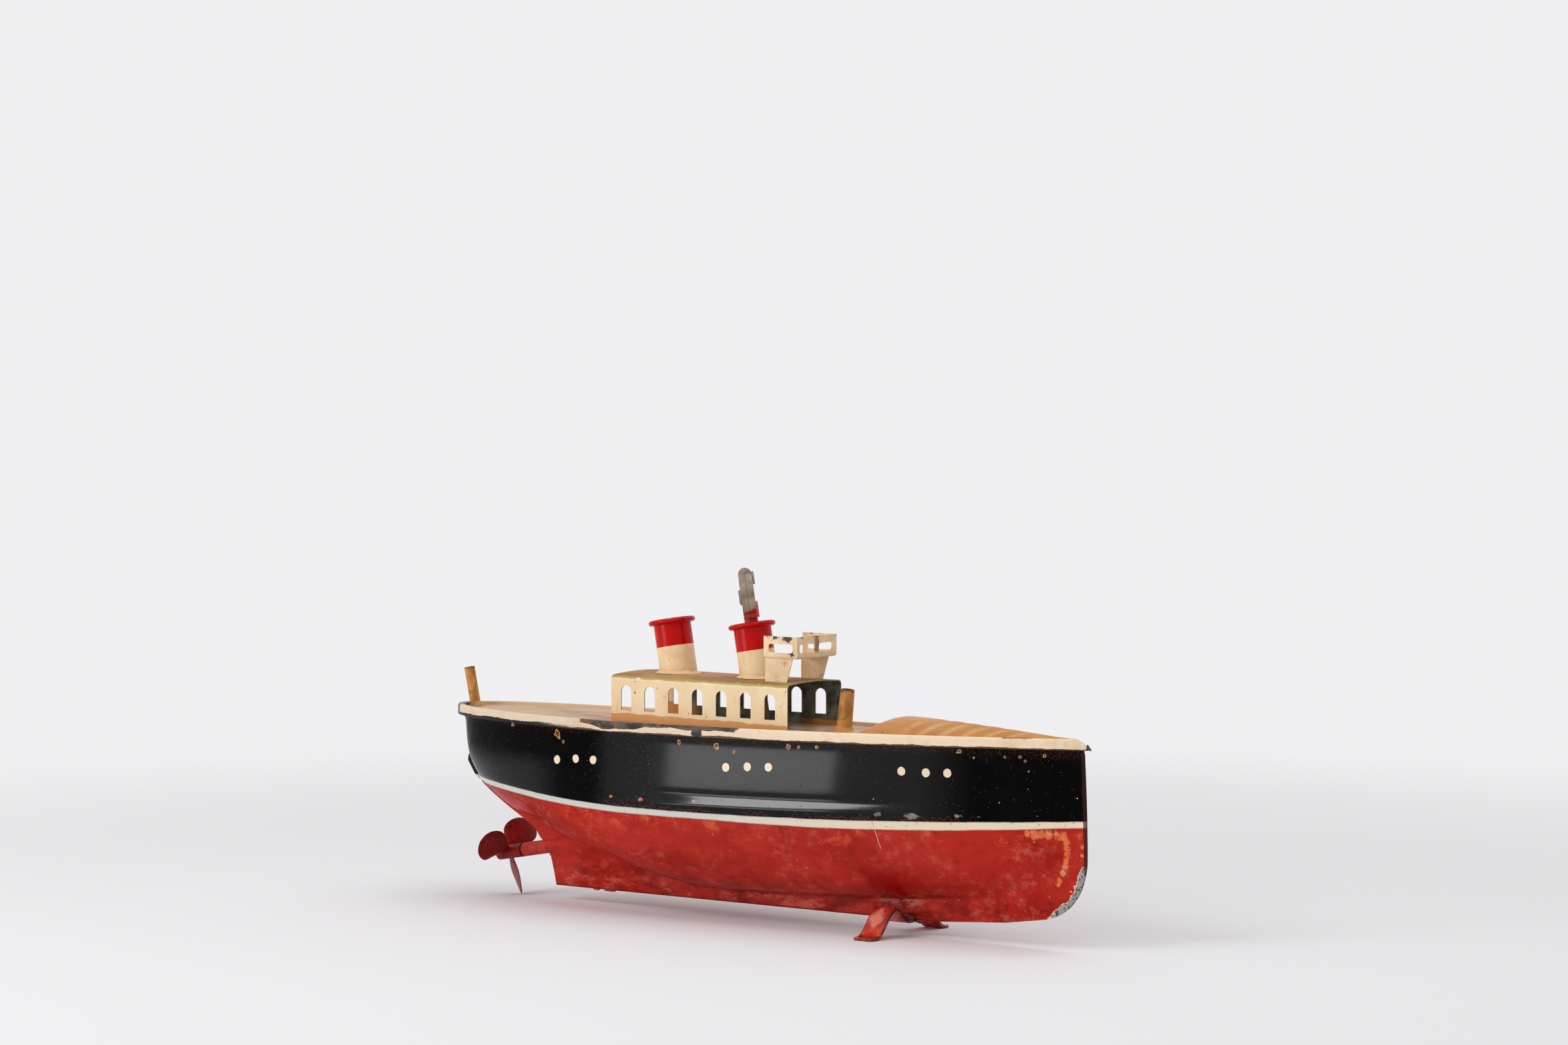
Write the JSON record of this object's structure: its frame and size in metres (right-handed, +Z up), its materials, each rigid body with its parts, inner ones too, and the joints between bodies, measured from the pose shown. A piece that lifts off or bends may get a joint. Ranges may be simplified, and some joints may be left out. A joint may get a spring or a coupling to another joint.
{
  "type": "toy passenger ship",
  "caption": "Tinplate clockwork ship with a round-sterned hull, arched cabin, raked funnels, a bridge on legs and a winding key down the fore funnel, resting on a keel strap",
  "frame": {"origin": "middle of the bounding box, at the level of the floor the ship stands on", "axes": "+X towards the bow, +Y to port, +Z up"},
  "size_m": [0.265, 0.049, 0.1186],
  "materials": {
    "hull_paint": "glossy black topsides, cream line and red bottom",
    "deck_paint": "aged ochre brown lacquer, cream lip",
    "cream_paint": "aged glossy cream",
    "funnel_paint": "glossy red over cream",
    "socket_paint": "glossy ochre",
    "strap_paint": "worn red over bare metal",
    "propeller_paint": "dark worn red",
    "brass": "plain turned and stamped brass",
    "steel": "plain bare steel",
    "spring_steel": "blued spring steel",
    "key_metal": "dull grey tinned sheet with a splash of red"
  },
  "bodies": {
    "ship": {"hull_starboard": "hull_paint", "hull_port": "hull_paint", "deck": "deck_paint", "cabin": "cream_paint", "funnel_fore": "funnel_paint", "funnel_aft": "funnel_paint", "bridge_tray": "cream_paint", "bridge_leg_starboard": "cream_paint", "bridge_leg_port": "cream_paint", "mast_socket": "socket_paint", "flagstaff_socket": "socket_paint", "stand_strap": "strap_paint", "stern_lug": "hull_paint", "stern_tube": "propeller_paint", "tube_bush_aft": "brass", "tube_bush_fore": "brass", "mainspring": "spring_steel", "motor_plate_upper": "steel", "motor_plate_lower": "steel", "motor_pillars": "steel", "pillar_nuts": "brass", "motor_bearers": "steel", "shaft_bracket": "steel"},
    "propeller": {"blade_low": "propeller_paint", "blade_port": "propeller_paint", "blade_starboard": "propeller_paint", "propeller_hub": "propeller_paint", "propeller_shaft": "steel", "thrust_collar": "brass", "shaft_pinion": "brass"},
    "third_wheel_set": {"third_arbor": "steel", "contrate_wheel": "brass"},
    "second_wheel_set": {"second_arbor": "steel", "second_wheel": "brass"},
    "great_wheel_set": {"great_wheel": "brass", "click_screw": "steel", "click_spring": "spring_steel"},
    "winding_set": {"winding_arbor": "steel", "ratchet_wheel": "steel", "key_shank": "key_metal", "key_bow": "key_metal"},
    "click": {"click": "steel"}
  },
  "joints": [
    {"name": "propeller_spin", "type": "hinge", "parent": "ship", "child": "propeller", "pos_m": [-0.111, 0, 0.01513], "axis": [0.9848, 0, 0.1736], "continuous": true},
    {"name": "third_arbor_spin", "type": "hinge", "parent": "ship", "child": "third_wheel_set", "pos_m": [-0.02719, 0, 0.02991], "axis": [-0.1736, 0, 0.9848], "continuous": true},
    {"name": "second_arbor_spin", "type": "hinge", "parent": "ship", "child": "second_wheel_set", "pos_m": [-0.01124, 0, 0.03272], "axis": [-0.1736, 0, 0.9848], "continuous": true},
    {"name": "great_wheel_spin", "type": "hinge", "parent": "ship", "child": "great_wheel_set", "pos_m": [0.00738, 0, 0.036], "axis": [-0.1736, 0, 0.9848], "continuous": true},
    {"name": "key_wind", "type": "hinge", "parent": "great_wheel_set", "child": "winding_set", "pos_m": [0.00738, 0, 0.036], "axis": [-0.1736, 0, 0.9848], "continuous": true},
    {"name": "click_drop", "type": "hinge", "parent": "great_wheel_set", "child": "click", "pos_m": [0.00558, 0.0096, 0.02776], "axis": [-0.1736, 0, 0.9848], "range_deg": [-7, 0]}
  ],
  "couplings": [
    {"joint": "third_arbor_spin", "follows": "propeller_spin", "ratio": -0.25},
    {"joint": "second_arbor_spin", "follows": "propeller_spin", "ratio": 0.05},
    {"joint": "great_wheel_spin", "follows": "propeller_spin", "ratio": -0.0083333}
  ]
}
